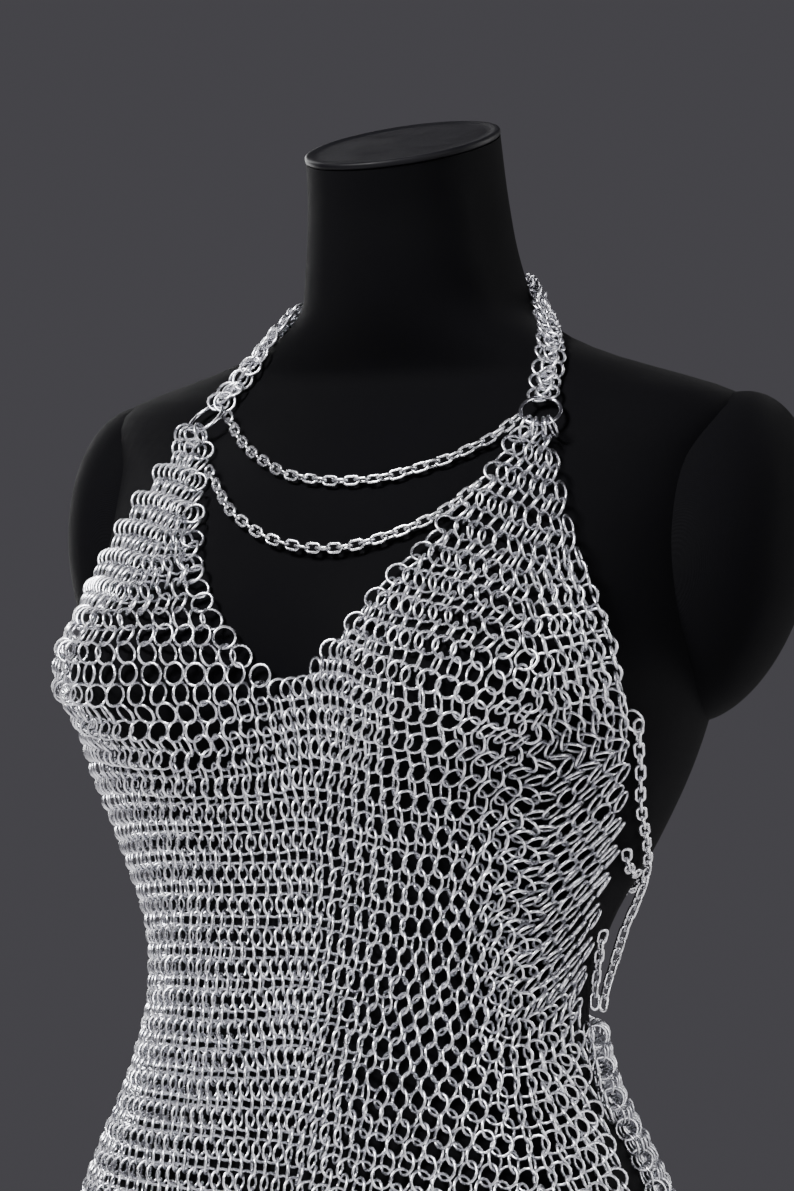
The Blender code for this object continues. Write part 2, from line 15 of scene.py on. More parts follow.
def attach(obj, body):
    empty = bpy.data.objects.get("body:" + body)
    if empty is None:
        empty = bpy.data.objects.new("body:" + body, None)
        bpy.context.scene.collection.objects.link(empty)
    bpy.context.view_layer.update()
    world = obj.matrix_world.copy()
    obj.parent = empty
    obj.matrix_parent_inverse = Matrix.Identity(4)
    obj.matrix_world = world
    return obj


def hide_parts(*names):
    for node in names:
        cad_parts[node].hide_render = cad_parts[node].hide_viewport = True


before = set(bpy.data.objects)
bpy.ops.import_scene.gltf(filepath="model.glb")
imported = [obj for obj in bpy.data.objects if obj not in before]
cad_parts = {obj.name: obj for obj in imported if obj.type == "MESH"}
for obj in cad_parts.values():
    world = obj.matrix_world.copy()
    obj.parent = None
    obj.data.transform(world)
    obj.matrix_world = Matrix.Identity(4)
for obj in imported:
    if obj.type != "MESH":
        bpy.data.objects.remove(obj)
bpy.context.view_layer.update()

SIDES = (("left", 1), ("right", -1))


def table(kind, *rows):
    """A table whose columns have the names of one kind of row."""
    return [kind(*row) for row in rows]


# ---- the body surface, as in the source
Section = namedtuple("Section", "z half front back shift square")
TORSO = table(
    Section,
    (0.770, 0.148, 0.102, 0.110, 0.006, 2.20),
    (0.776, 0.154, 0.107, 0.116, 0.006, 2.20),
    (0.800, 0.162, 0.112, 0.122, 0.006, 2.25),
    (0.860, 0.166, 0.114, 0.126, 0.004, 2.30),
    (0.910, 0.157, 0.108, 0.119, 0.001, 2.30),
    (0.960, 0.137, 0.100, 0.102, -0.002, 2.25),
    (1.000, 0.118, 0.091, 0.088, -0.004, 2.20),
    (1.040, 0.109, 0.084, 0.082, -0.001, 2.20),
    (1.080, 0.117, 0.084, 0.086, 0.008, 2.20),
    (1.120, 0.137, 0.090, 0.092, 0.016, 2.25),
    (1.160, 0.154, 0.096, 0.101, 0.017, 2.30),
    (1.200, 0.162, 0.100, 0.106, 0.020, 2.35),
    (1.240, 0.161, 0.097, 0.104, 0.026, 2.40),
    (1.280, 0.160, 0.086, 0.094, 0.034, 2.40),
    (1.310, 0.162, 0.068, 0.080, 0.042, 2.40),
    (1.330, 0.167, 0.052, 0.066, 0.046, 2.40),
    (1.342, 0.161, 0.047, 0.060, 0.049, 2.30),
    (1.352, 0.135, 0.045, 0.058, 0.052, 2.20),
    (1.362, 0.104, 0.047, 0.058, 0.050, 2.10),
    (1.372, 0.081, 0.050, 0.058, 0.047, 2.00),
    (1.385, 0.063, 0.054, 0.059, 0.045, 2.00),
    (1.405, 0.056, 0.054, 0.057, 0.040, 2.00),
    (1.440, 0.051, 0.050, 0.052, 0.033, 2.00),
    (1.468, 0.049, 0.049, 0.050, 0.028, 2.00),
)
HIP_Z = 0.860
HANGING = table(
    Section,
    (0.640, 0.167, 0.119, 0.130, 0.004, 2.20),
    (0.720, 0.168, 0.118, 0.130, 0.004, 2.22),
    (0.800, 0.168, 0.116, 0.128, 0.004, 2.26),
)
DRESS = HANGING + [row for row in TORSO if row.z >= HIP_Z]

Bulge = namedtuple("Bulge", "out angle width z above below")
BUST = Bulge(0.044, 40.0, 20.0, 1.204, 0.047, 0.037)
SHOULDERS = Bulge(0.0145, 104.0, 20.0, 1.337, 0.019, 0.130)

NECK_TILT = math.radians(17.5)
NECK_LEAN_FROM = 1.425
NECK_TOP = 1.468

Fold = namedtuple("Fold", "angle width depth")
FOLDS = table(
    Fold,
    (-118, 12, 0.0060),
    (-70, 11, 0.0050),
    (-33, 9, 0.0035),
    (9, 13, 0.0060),
    (44, 8, 0.0030),
    (71, 10, 0.0055),
    (112, 10, 0.0050),
    (147, 12, 0.0045),
    (186, 10, 0.0060),
    (-146, 9, 0.0035),
)
FOLDS_FROM = 0.850
FOLDS_FULL = 0.700

MAIL_LIFT = 0.0045  # from the form to the middle of the mail
WAIST_Z = 1.034
UNDERBUST_Z = 1.160
CLEAVAGE_Z = 1.197
CUP_TOP_Z = 1.3205
JOIN_FOOT_Z = 0.985
HEM_Z = 0.660

Edge = namedtuple("Edge", "z angle")
NECKLINE = table(
    Edge,
    (1.197, 0.0),
    (1.203, 7.0),
    (1.220, 16.5),
    (1.235, 22.5),
    (1.250, 28.5),
    (1.265, 35.5),
    (1.285, 44.0),
    (1.300, 51.0),
    (1.321, 59.0),
)
FRONT_SIDE = table(
    Edge,
    (0.660, 88.0),
    (0.900, 88.0),
    (0.950, 87.5),
    (0.970, 88.0),
    (0.985, 90.5),
    (1.034, 92.0),
    (1.050, 91.0),
    (1.070, 88.5),
    (1.090, 85.0),
    (1.110, 81.5),
    (1.144, 77.5),
    (1.186, 72.5),
    (1.200, 70.5),
    (1.230, 67.0),
    (1.255, 64.5),
    (1.280, 63.0),
    (1.300, 63.0),
    (1.321, 64.0),
)
BACK_SIDE = table(
    Edge,
    (0.660, 95.0),
    (0.900, 94.5),
    (0.950, 94.0),
    (0.970, 94.0),
    (0.985, 94.0),
    (1.034, 95.5),
)

O_RING_ANGLE = 63.0
O_RING_Z = 1.3275
O_RING_RADIUS = 0.0099
O_RING_WIRE = 0.0011
O_RING_LIFT = 0.0070
O_RING_FACING = (0.26, -0.64, 0.72)
NAPE_Z = 1.401
NAPE_RADIUS = 0.0048
NAPE_WIRE = 0.0008

Stop = namedtuple("Stop", "angle z lift")
LEFT_STRAP = table(
    Stop,
    (63.0, 1.3275, 0.0065),
    (66.0, 1.3452, 0.0056),
    (69.0, 1.3560, 0.0050),
    (74.2, 1.3660, 0.0048),
    (84.5, 1.3752, 0.0048),
    (97.0, 1.3835, 0.0050),
    (109.0, 1.3900, 0.0052),
    (128.0, 1.3968, 0.0055),
    (153.0, 1.4005, 0.0060),
    (180.0, 1.4010, 0.0060),
)
RIGHT_STRAP = table(
    Stop,
    (63.0, 1.3275, 0.0065),
    (65.2, 1.3432, 0.0054),
    (66.4, 1.3520, 0.0050),
    (67.0, 1.3610, 0.0048),
    (67.6, 1.3685, 0.0048),
    (70.5, 1.3750, 0.0048),
    (79.0, 1.3815, 0.0050),
    (94.0, 1.3870, 0.0052),
    (118.0, 1.3945, 0.0055),
    (150.0, 1.4000, 0.0060),
    (180.0, 1.4010, 0.0060),
)
UPPER_DRAPE = table(
    Stop,
    (-59.0, 1.3288, 0.0056),
    (-50.0, 1.3184, 0.0044),
    (-41.0, 1.3109, 0.0040),
    (-30.7, 1.3042, 0.0040),
    (-23.0, 1.2999, 0.0040),
    (-15.7, 1.2978, 0.0040),
    (-3.0, 1.2957, 0.0040),
    (9.0, 1.2958, 0.0040),
    (18.0, 1.2968, 0.0040),
    (25.4, 1.2994, 0.0040),
    (33.0, 1.3028, 0.0040),
    (39.2, 1.3062, 0.0040),
    (45.4, 1.3111, 0.0042),
    (51.0, 1.3159, 0.0045),
    (58.0, 1.3246, 0.0056),
)
LOWER_DRAPE = table(
    Stop,
    (-48.0, 1.3010, 0.0062),
    (-42.0, 1.2935, 0.0048),
    (-36.5, 1.2868, 0.0045),
    (-30.0, 1.2795, 0.0045),
    (-18.2, 1.2693, 0.0046),
    (-8.0, 1.2645, 0.0050),
    (3.0, 1.2626, 0.0052),
    (13.0, 1.2635, 0.0050),
    (23.0, 1.2677, 0.0046),
    (31.2, 1.2733, 0.0045),
    (36.6, 1.2790, 0.0045),
    (40.7, 1.2843, 0.0048),
    (45.6, 1.2915, 0.0062),
)
SIDE_CHAIN = table(
    Stop,
    (74.3, 1.1825, 0.0040),
    (75.6, 1.1725, 0.0036),
    (77.8, 1.1590, 0.0036),
    (79.4, 1.1490, 0.0036),
    (81.6, 1.1395, 0.0036),
    (85.2, 1.1300, 0.0036),
    (88.2, 1.1235, 0.0036),
    (92.8, 1.1149, 0.0038),
    (97.5, 1.1062, 0.0046),
    (100.0, 1.0975, 0.0060),
    (101.3, 1.0897, 0.0068),
    (102.7, 1.0805, 0.0070),
    (104.0, 1.0707, 0.0076),
    (104.6, 1.0590, 0.0080),
    (104.4, 1.0500, 0.0076),
    (103.6, 1.0390, 0.0070),
)
SIDE_LINK = table(
    Stop,
    (81.6, 1.1210, 0.0040),
    (85.0, 1.1130, 0.0036),
    (89.5, 1.1090, 0.0036),
    (93.2, 1.1075, 0.0036),
)
SIDE_LACE = table(
    Stop,
    (89.6, 1.0805, 0.0046),
    (92.2, 1.0720, 0.0038),
    (94.8, 1.0650, 0.0036),
    (97.2, 1.0570, 0.0036),
    (98.8, 1.0480, 0.0038),
    (99.4, 1.0390, 0.0044),
)
BACK_CHAIN_HALF = table(
    Stop,
    (105.8, 1.1035, 0.0036),
    (112.0, 1.0990, 0.0036),
    (124.0, 1.0930, 0.0036),
    (141.0, 1.0880, 0.0038),
    (160.0, 1.0855, 0.0040),
)
BACK_CHAIN_MIDDLE = Stop(180.0, 1.0850, 0.0040)

CAP_THICK = 0.0038
CAP_OVER = 0.0004
ARM_MIDDLE = (0.161, 0.056, 1.261)
ARM_SIZE = (0.046, 0.053, 0.082)
ARM_LEAN = (0.15, 0.08)

# ---- the wire
RING_RADIUS = 0.00547  # to the middle of the wire
RING_WIRE = 0.00078  # half the wire's thickness, as in every WIRE below
RING_ACROSS = 2 * (RING_RADIUS + RING_WIRE)
RING_CELL = 0.0102 * 0.0074  # the flat area of cloth that one ring makes
ROW_PITCH = 0.0078
FRONT_COLUMNS = 46
BACK_COLUMNS = 45
EDGE_INSET = 0.0056  # from a panel's edge to the middle of its outermost rings
HEM_INSET = 0.0052
BACK_TOP_INSET = 0.0035
CUP_TOP_INSET = 0.002
HUNG_REACH = 0.0034  # from a large ring's wire to the middle of a ring that hangs on it

LINK_HALF = 0.00175  # half the straight side of a chain link
LINK_RADIUS = 0.0022
LINK_WIRE = 0.0008
LINK_PITCH = 0.0060

# Each sheet's flat width and length, and how many points go round its rings and round their wire.
Cloth = namedtuple("Cloth", "flat steps sides")
CUP = Cloth((0.19, 0.165), 16, 5)
BODICE = Cloth((0.25, 0.15), 16, 5)
SKIRT_FRONT = Cloth((0.25, 0.40), 15, 5)
SKIRT_BACK = Cloth((0.24, 0.40), 14, 4)
STRAP = Cloth((0.0187, 0.182), 16, 6)

rng = np.random.default_rng(4711)


def along(rows, column, z):
    """A table's column at heights z, on a smooth curve through its rows."""
    heights = np.array([row.z for row in rows])
    values = np.array([getattr(row, column) for row in rows])
    rise = np.diff(values) / np.diff(heights)
    slopes = np.concatenate([rise[:1], (rise[:-1] + rise[1:]) / 2, rise[-1:]])
    z = np.clip(z, heights[0], heights[-1])
    i = np.clip(np.searchsorted(heights, z) - 1, 0, len(rows) - 2)
    span = heights[i + 1] - heights[i]
    t = (z - heights[i]) / span
    return (
        (2 * t**3 - 3 * t**2 + 1) * values[i]
        + (t**3 - 2 * t**2 + t) * span * slopes[i]
        + (3 * t**2 - 2 * t**3) * values[i + 1]
        + (t**3 - t**2) * span * slopes[i + 1]
    )


def edge_at(rows, z):
    """The angle of a panel's edge at heights z."""
    return np.interp(z, [row.z for row in rows], [row.angle for row in rows])


def round_the_body(angle):
    return (angle + 180) % 360 - 180


def smoothstep(low, high, value):
    t = np.clip((value - low) / (high - low), 0.0, 1.0)
    return t * t * (3 - 2 * t)


def stand_out(bulge, angle, z):
    """How far a bulge, one on each side of the body, stands out of the sections."""
    level = np.exp(-(((z - bulge.z) / np.where(z > bulge.z, bulge.above, bulge.below)) ** 2))
    turns = [round_the_body(angle - side * bulge.angle) / bulge.width for side in (1, -1)]
    return bulge.out * (level * sum(np.exp(-(turn**2)) for turn in turns))


def folds(angle, z):
    stand = sum(
        fold.depth * np.exp(-((round_the_body(angle - fold.angle) / fold.width) ** 2)) for fold in FOLDS
    )
    return smoothstep(FOLDS_FROM, FOLDS_FULL, z) * stand


def on_surface(rows, angle, z):
    """The surface's points at angles from the middle front towards the wearer's left."""
    angle, z = np.broadcast_arrays(np.asarray(angle, float), np.asarray(z, float))
    sine, cosine = np.sin(np.radians(angle)), np.cos(np.radians(angle))
    half = along(rows, "half", z)
    depth = np.where(cosine > 0, along(rows, "front", z), along(rows, "back", z))
    square = along(rows, "square", z)
    radius = (np.abs(sine / half) ** square + np.abs(cosine / depth) ** square) ** (-1 / square)
    radius = radius + stand_out(BUST, angle, z) + stand_out(SHOULDERS, angle, z)
    if rows is DRESS:
        radius = radius + folds(angle, z)
    return np.stack([radius * sine, along(rows, "shift", z) - radius * cosine, z], axis=-1)


def unit(vectors):
    return vectors / np.maximum(np.linalg.norm(vectors, axis=-1, keepdims=True), 1e-12)


def turned(one, other, angle):
    """A vector turned towards another at right angles to it, in radians."""
    angle = np.asarray(angle)[..., None]
    return np.cos(angle) * one + np.sin(angle) * other


def out_of_surface(rows, angle, z):
    step_angle, step_z = 0.05, 0.0002
    round_it = on_surface(rows, angle + step_angle, z) - on_surface(rows, angle - step_angle, z)
    up_it = on_surface(rows, angle, z + step_z) - on_surface(rows, angle, z - step_z)
    return unit(np.cross(round_it, up_it))


def off_surface(rows, angle, z, lift):
    return on_surface(rows, angle, z) + lift * out_of_surface(rows, angle, z)


def smooth_route(points, step):
    """Points about a step apart on a smooth curve through a route's own points."""
    points = [np.array(p, float) for p in points]
    ends = [2 * points[0] - points[1]] + points + [2 * points[-1] - points[-2]]
    line = [points[0]]
    for before, start, end, after in zip(ends, ends[1:], ends[2:], ends[3:]):
        count = max(1, round(float(np.linalg.norm(end - start)) / step))
        for k in range(1, count + 1):
            t = k / count
            bend = 2 * before - 5 * start + 4 * end - after
            swing = 3 * start - before - 3 * end + after
            line.append((2 * start + (end - before) * t + bend * t**2 + swing * t**3) / 2)
    return np.array(line)


def route_points(stops, side=1):
    return [off_surface(TORSO, side * s.angle, s.z, s.lift) for s in stops]


def run_along(line):
    """The distance from a line's start to each of its points."""
    return np.concatenate([[0.0], np.cumsum(np.linalg.norm(np.diff(line, axis=0), axis=1))])


def point_at(line, run, reach):
    """The point or points at a distance along a line."""
    return np.stack([np.interp(reach, run, line[:, i]) for i in range(3)], -1)


def single(*vectors):
    """Vectors as arrays of one row each."""
    return [np.array([v]) for v in vectors]


# ---- meshes
def add_values(mesh, name, values):
    """A number for each of a mesh's points, which a material can read."""
    attribute = mesh.attributes.new(name, "FLOAT", "POINT")
    attribute.data.foreach_set("value", np.asarray(values, np.float32))


def make_mesh(name, points, quads, finish):
    """A smooth-shaded object from arrays of points and of four-sided faces."""
    mesh = bpy.data.meshes.new(name)
    mesh.vertices.add(len(points))
    mesh.vertices.foreach_set("co", np.asarray(points, np.float32).ravel())
    quads = np.asarray(quads, np.int32)
    mesh.loops.add(quads.size)
    mesh.loops.foreach_set("vertex_index", quads.ravel())
    mesh.polygons.add(len(quads))
    mesh.polygons.foreach_set("loop_start", np.arange(0, quads.size, 4, dtype=np.int32))
    mesh.update(calc_edges=True)
    mesh.validate()
    mesh.shade_smooth()
    made = bpy.data.objects.new(name, mesh)
    mesh.materials.append(finish)
    bpy.context.scene.collection.objects.link(made)
    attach(made, "root")
    return made


def torus_faces(steps, sides):
    i, j = np.meshgrid(np.arange(steps), np.arange(sides), indexing="ij")
    k, m = (i + 1) % steps, (j + 1) % sides
    return np.stack([i * sides + j, k * sides + j, k * sides + m, i * sides + m], -1).reshape(-1, 4)


def many_loops(outline, outward, middles, across, along_it, normals, wire, sides):
    """Points and faces of many wire loops: one flat outline set into each one's own frame."""
    steps = len(outline)
    around = math.tau * np.arange(sides) / sides
    flat = outline[:, None] + outward[:, None] * (wire * np.cos(around))[:, None]
    depth = (wire * np.sin(around))[:, None]
    middles, across, along_it, normals = (v[:, None, None] for v in (middles, across, along_it, normals))
    points = middles + flat[..., :1] * across + flat[..., 1:] * along_it + depth * normals
    shift = np.arange(len(middles)) * steps * sides
    faces = torus_faces(steps, sides) + shift[:, None, None]
    return points.reshape(-1, 3), faces.reshape(-1, 4)


def circle(radius, steps):
    a = math.tau * np.arange(steps) / steps
    outward = np.stack([np.cos(a), np.sin(a)], -1)
    return outward * radius, outward


def stadium(half, radius, steps):
    """The outline of a chain link: two half circles joined by straight sides."""
    a = math.tau * (np.arange(steps) + 0.5) / steps
    outward = np.stack([np.cos(a), np.sin(a)], -1)
    shift = np.stack([np.zeros(steps), np.sign(np.sin(a)) * half], -1)
    return outward * radius + shift, outward


# ---- the weave
Rings = namedtuple("Rings", "middle across up normal height tone")

# Where the front's columns crowd together (more above 0) or stand open, by angle and height on the body.
Crowd = namedtuple("Crowd", "angle width z height more")
FRONT_CROWDS = table(
    Crowd,
    (1, 8, 1.060, 0.120, 0.45),
    (15, 7, 1.205, 0.045, 0.55),
    (13, 12, 1.000, 0.045, 0.40),
    (46, 14, 1.000, 0.045, -0.10),
    (40, 14, 1.140, 0.040, -0.08),
    (62, 12, 1.090, 0.050, 0.14),
    (-74, 16, 1.140, 0.080, 0.30),
    (-26, 26, 0.985, 0.075, 0.34),
    (36, 13, 1.200, 0.035, -0.10),
    (-32, 18, 1.200, 0.040, -0.28),
)

# The same of the front's rows.
ROW_CROWDS = table(
    Crowd,
    (-32, 24, 1.205, 0.030, -0.16),
    (-28, 26, 1.148, 0.026, 0.14),
    (-20, 22, 1.000, 0.030, 0.12),
    (10, 24, 1.045, 0.024, 0.14),
    (62, 42, 1.110, 0.055, -0.13),
    (62, 38, 0.995, 0.050, -0.18),
    (82, 16, 1.020, 0.060, 0.12),
)

FINE_ANGLES = 361  # round a panel, where its columns are spaced
FINE_SHARES = 2001  # along a row, where its cut edges are found
WEAVE_LEVELS = 240
SLOPE_POWER = 0.55  # 1 would keep the rows' pitch on steep cloth, and less lets it stretch


def crowding(crowds, angle, z):
    """How closely the rings lie at angles and heights, 1 where nothing crowds or parts them."""
    dense = np.ones(np.broadcast_shapes(np.shape(angle), np.shape(z)))
    for crowd in crowds:
        level = np.exp(-(((z - crowd.z) / crowd.height) ** 2))
        dense = dense + crowd.more * level * np.exp(-(((angle - crowd.angle) / crowd.width) ** 2))
    return dense


def column_angles(start, end, columns, heights, crowds):
    """The angle of every half column at every height, spaced along the cloth between two edges."""
    shares = np.linspace(0.0, 1.0, 2 * columns + 1)
    fine = np.linspace(0.0, 1.0, FINE_ANGLES)
    angles = np.empty((2 * columns + 1, len(heights)))
    for k, z in enumerate(heights):
        angle = start(z) + (end(z) - start(z)) * fine
        line = off_surface(DRESS, angle, z, MAIL_LIFT)
        run = run_along(line)
        inner = (run >= EDGE_INSET) & (run <= run[-1] - EDGE_INSET)
        run, angle = run[inner], angle[inner]
        dense = crowding(crowds, angle, z)
        count = np.cumsum((dense[1:] + dense[:-1]) / 2 * np.diff(run))
        count = np.insert(count, 0, 0.0)
        angles[:, k] = np.interp(shares * count[-1], count, angle)
    return angles


class Weave:
    """Rows and columns of rings between two edges of the mail, as a continuous field."""

    def __init__(self, start, end, columns, crowds, row_crowds, drop, low, high):
        self.columns = columns
        self.heights = np.linspace(low, high, WEAVE_LEVELS)
        self.angles = column_angles(start, end, columns, self.heights, crowds)
        self.shares = np.linspace(-1.0, 1.0, 2 * columns + 1)
        points = off_surface(DRESS, self.angles, self.heights, MAIL_LIFT)
        steps = np.diff(self.heights)
        rise = np.linalg.norm(np.diff(points, axis=1), axis=2) / steps
        stretch = rise**SLOPE_POWER * crowding(row_crowds, self.angles[:, 1:], self.heights[1:]) * steps
        run = np.concatenate([np.zeros((len(self.shares), 1)), np.cumsum(stretch, axis=1)], axis=1)
        self.row_value = (run + drop(self.shares[:, None], self.heights)) / ROW_PITCH

    def level(self, row):
        """The height and angle of every half column on one row."""
        z = np.array([np.interp(row, values, self.heights) for values in self.row_value])
        angle = np.array([np.interp(h, self.heights, a) for h, a in zip(z, self.angles)])
        return z, angle

    def last_row(self):
        return int(self.row_value[:, -1].max())


# Under the wearer's left arm the pull turns the rings' lean from along their row to down the cloth, into
# long close lines, and opens them a little. The turn is in degrees, by the side a row leans to.
DRAG_TURN = {1: 82.0, -1: -82.0}
DRAG_LEAN = -0.12
DRAG_SIDE = (0.62, 0.80)  # the shares of the way to the side between which it sets in
DRAG_FOOT = (1.000, 1.060)  # the heights between which it sets in
DRAG_TOP = (1.150, 1.190)  # and those between which it ends
FRONT_REACH = 92.0  # the front's furthest angle

LEAN_COSINE = (0.50, 0.78)  # of the steepest and the flattest lean
LEAN_SHAKE = 4.5  # degrees
NOD_SHAKE = 4.0  # degrees
PLACE_SHAKE = 0.00022
EDGE_SLACK = 0.6  # how much of its lean a ring at a cut edge loses

# Where the rings of all rows turn a little towards the wearer's left (above 0) or right, in degrees.
SWAY = table(
    Crowd,
    (-34, 22, 1.195, 0.045, 21.0),
    (44, 20, 1.170, 0.060, -14.0),
)


def dragged(angle, z):
    """How far the pull under the wearer's left arm has hold of the rings, from 0 to 1."""
    near = smoothstep(*DRAG_SIDE, angle / edge_at(FRONT_SIDE, z))
    return near * smoothstep(*DRAG_FOOT, z) * (1 - smoothstep(*DRAG_TOP, z)) * (angle < FRONT_REACH)


def place_rings(angle, z, before, after, lean_side, slack=0.0):
    """Rings at angles and heights, each leaning about its column to the side its row leans.

    before and after are the points half a column to each side. slack is the share of its lean that a
    ring loses.
    """
    middle = off_surface(DRESS, angle, z, MAIL_LIFT)
    out = out_of_surface(DRESS, angle, z)
    row = after - before
    pitch = np.linalg.norm(row, axis=1)
    row = unit(row - np.sum(row * out, axis=1, keepdims=True) * out)
    count = len(middle)
    lean = np.degrees(np.arccos(np.clip(pitch / RING_ACROSS, *LEAN_COSINE)))
    lean = lean * lean_side * (1 - slack) + crowding(SWAY, angle, z) - 1
    lean = np.radians(lean + rng.normal(0, LEAN_SHAKE, count))
    nod = np.radians(rng.normal(0, NOD_SHAKE, count))
    up = np.cross(out, row)
    drag = dragged(angle, z)
    turn = np.radians(DRAG_TURN[lean_side]) * drag
    lean = lean * (1 + DRAG_LEAN * drag)
    normal = turned(out, turned(row, -up, turn), lean)
    normal = unit(turned(normal, up, nod))
    across = unit(np.cross(up, normal))
    up = np.cross(normal, across)
    middle = middle + row * rng.normal(0, PLACE_SHAKE, (count, 1))
    middle = middle + up * rng.normal(0, PLACE_SHAKE, (count, 1))
    return Rings(middle, across, up, normal, z, rng.uniform(0, 1, count))


def join_rings(parts):
    return Rings(*(np.concatenate([getattr(p, f) for p in parts]) for f in Rings._fields))


def pick_rings(rings, keep):
    return Rings(*(getattr(rings, f)[keep] for f in Rings._fields))


LEAST_SPAN = 0.2  # of a column's width, below which a cut piece of a row gets no ring
EDGE_ROOM = 0.5  # of a column's width, above which a cut edge gets a ring of its own
ROUNDING = 1e-9


def rings_in_span(own, start, end, step):
    """The shares of the rings between two edges, with a ring on each edge that is a cut one."""
    here = list(own[(own >= start - ROUNDING) & (own <= end + ROUNDING)])
    if not here:
        return [(start + end) / 2] if end - start > LEAST_SPAN * step else []
    if start > -1 + ROUNDING:
        if here[0] - start > EDGE_ROOM * step:
            here.insert(0, start)
        else:
            here[0] = start
    if end < 1 - ROUNDING:
        if end - here[-1] > EDGE_ROOM * step:
            here.append(end)
        else:
            here[-1] = end
    return here


def row_shares(weave, row, inside):
    """The shares of one row's rings, and the heights and angles of all its half columns."""
    z, angle = weave.level(row)
    fine = np.linspace(-1, 1, FINE_SHARES)
    good = inside(np.interp(fine, weave.shares, angle), np.interp(fine, weave.shares, z))
    edges = np.flatnonzero(np.diff(good, prepend=False, append=False))
    own = weave.shares[row % 2 :: 2]
    kept = []
    for start, end in zip(fine[edges[::2]], fine[edges[1::2] - 1]):
        kept += rings_in_span(own, start, end, 2 / weave.columns)
    return np.array(sorted(kept)), z, angle


def weave_rings(weave, inside):
    """All the rings of a weave that lie inside a panel's edges."""
    parts = []
    half = 1.0 / weave.columns
    for row in range(weave.last_row() + 1):
        own, z, angle = row_shares(weave, row, inside)
        if not len(own):
            continue

        def at(share):
            return np.interp(share, weave.shares, angle), np.interp(share, weave.shares, z)

        low, high = np.clip(own - half, -1, 1), np.clip(own + half, -1, 1)
        before = off_surface(DRESS, *at(low), MAIL_LIFT)
        after = off_surface(DRESS, *at(high), MAIL_LIFT)
        reach = (after - before) * (2 * half / (high - low))[:, None]
        centre = (after + before) / 2
        ends = centre - reach / 2, centre + reach / 2
        within = inside(*at(own - half)) & inside(*at(own + half))
        slack = np.where(within, 0.0, EDGE_SLACK)
        parts.append(place_rings(*at(own), *ends, -1 if row % 2 else 1, slack))
    return join_rings(parts)


# How far the front's rows sink on their way round to the wearer's left, by height, and rise again there.
NEAR_DROP_Z = (0.70, 0.90, 0.97, 1.03, 1.07, 1.14, 1.20, 1.26, 1.32)
NEAR_DROP = (0.0, 0.018, 0.030, 0.050, 0.064, 0.084, 0.079, 0.064, 0.040)
NEAR_RISE_Z = (0.70, 0.90, 0.98, 1.05, 1.10, 1.15, 1.20, 1.26, 1.32)
NEAR_RISE = (0.0, 0.010, 0.028, 0.060, 0.078, 0.082, 0.056, 0.022, 0.006)
NEAR_DROP_BEND = 0.22  # the share of the half's width over which the sinking sets in
NEAR_RISE_FROM = 0.70
NEAR_RISE_BEND = 0.10
FAR_DROP = 0.010  # the same on the wearer's right, between the next heights
FAR_DROP_FOOT = (0.97, 1.05)
FAR_DROP_TOP = (1.12, 1.22)
FAR_DROP_FULL = 0.8  # the share of the half's width at which it is full


def bent_ramp(share, start, bend):
    """A ramp from 0 at the start to 1 at a share of 1, whose slope sets in over the bend."""
    share = np.clip(share - start, 0, 1)
    return np.where(share < bend, share**2 / (2 * bend), share - bend / 2) / (1 - start - bend / 2)


def drop_of_front(share, z):
    """How far the front's rows sink from the middle front towards each side."""
    sunk = np.interp(z, NEAR_DROP_Z, NEAR_DROP) * bent_ramp(share, 0.0, NEAR_DROP_BEND)
    risen = np.interp(z, NEAR_RISE_Z, NEAR_RISE) * bent_ramp(share, NEAR_RISE_FROM, NEAR_RISE_BEND)
    far = FAR_DROP * smoothstep(*FAR_DROP_FOOT, z) * (1 - smoothstep(*FAR_DROP_TOP, z))
    far = far * smoothstep(0.0, FAR_DROP_FULL, np.clip(-share, 0, 1))
    return sunk - risen + far


def no_drop(share, z):
    return 0.0


# How far below the neckline its outermost rings' middles end, on the wearer's left and right.
NEAR_NECK_INSET = -0.0015
FAR_NECK_HEIGHTS = (1.235, 1.270)
FAR_NECK_INSETS = (0.0045, 0.0006)


def in_front(angle, z):
    inset = np.where(angle > 0, NEAR_NECK_INSET, np.interp(z, FAR_NECK_HEIGHTS, FAR_NECK_INSETS))
    neck = np.where(z + inset > CLEAVAGE_Z, edge_at(NECKLINE, z + inset), 0.0)
    return (np.abs(angle) >= neck) & (z <= CUP_TOP_Z - CUP_TOP_INSET)


def anywhere(angle, z):
    return np.full(np.shape(angle), True)


def add_mail(name, rings, nodes, cloth, area=None):
    """A panel's rings as one mesh."""
    outline, outward = circle(RING_RADIUS, cloth.steps)
    frames = (rings.middle, rings.across, rings.up, rings.normal)
    points, faces = many_loops(outline, outward, *frames, RING_WIRE, cloth.sides)
    made = make_mesh(name, points, faces, MAIL)
    add_values(made.data, "tone", np.repeat(rings.tone, cloth.steps * cloth.sides))
    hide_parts(*nodes)
    area = area or len(rings.middle) * RING_CELL


# ---- single rings and the halter
UPWARD = np.array([0.0, 0.0, 1.0])
HUNG_TURNS = (-30, -10, 10, 29)  # round the large ring, from its lowest point
HUNG_SHAKE = 8.0
TIE_BACK = 1.3  # degrees from the side chain's top to its tie ring
TIE_ABOVE = 0.001
TIE_TILT = 0.7
TIE_SHAKE = 4.0


def one_ring(middle, reach, normal, shake):
    """A single ring about a direction, with a little turn of its own."""
    normal = turned(normal, np.cross(normal, reach), math.radians(rng.normal(0, shake)))
    across = unit(np.cross(reach, normal))
    up = np.cross(normal, across)
    return Rings(*single(middle, across, up, unit(normal), middle[2]), rng.uniform(0, 1, 1))


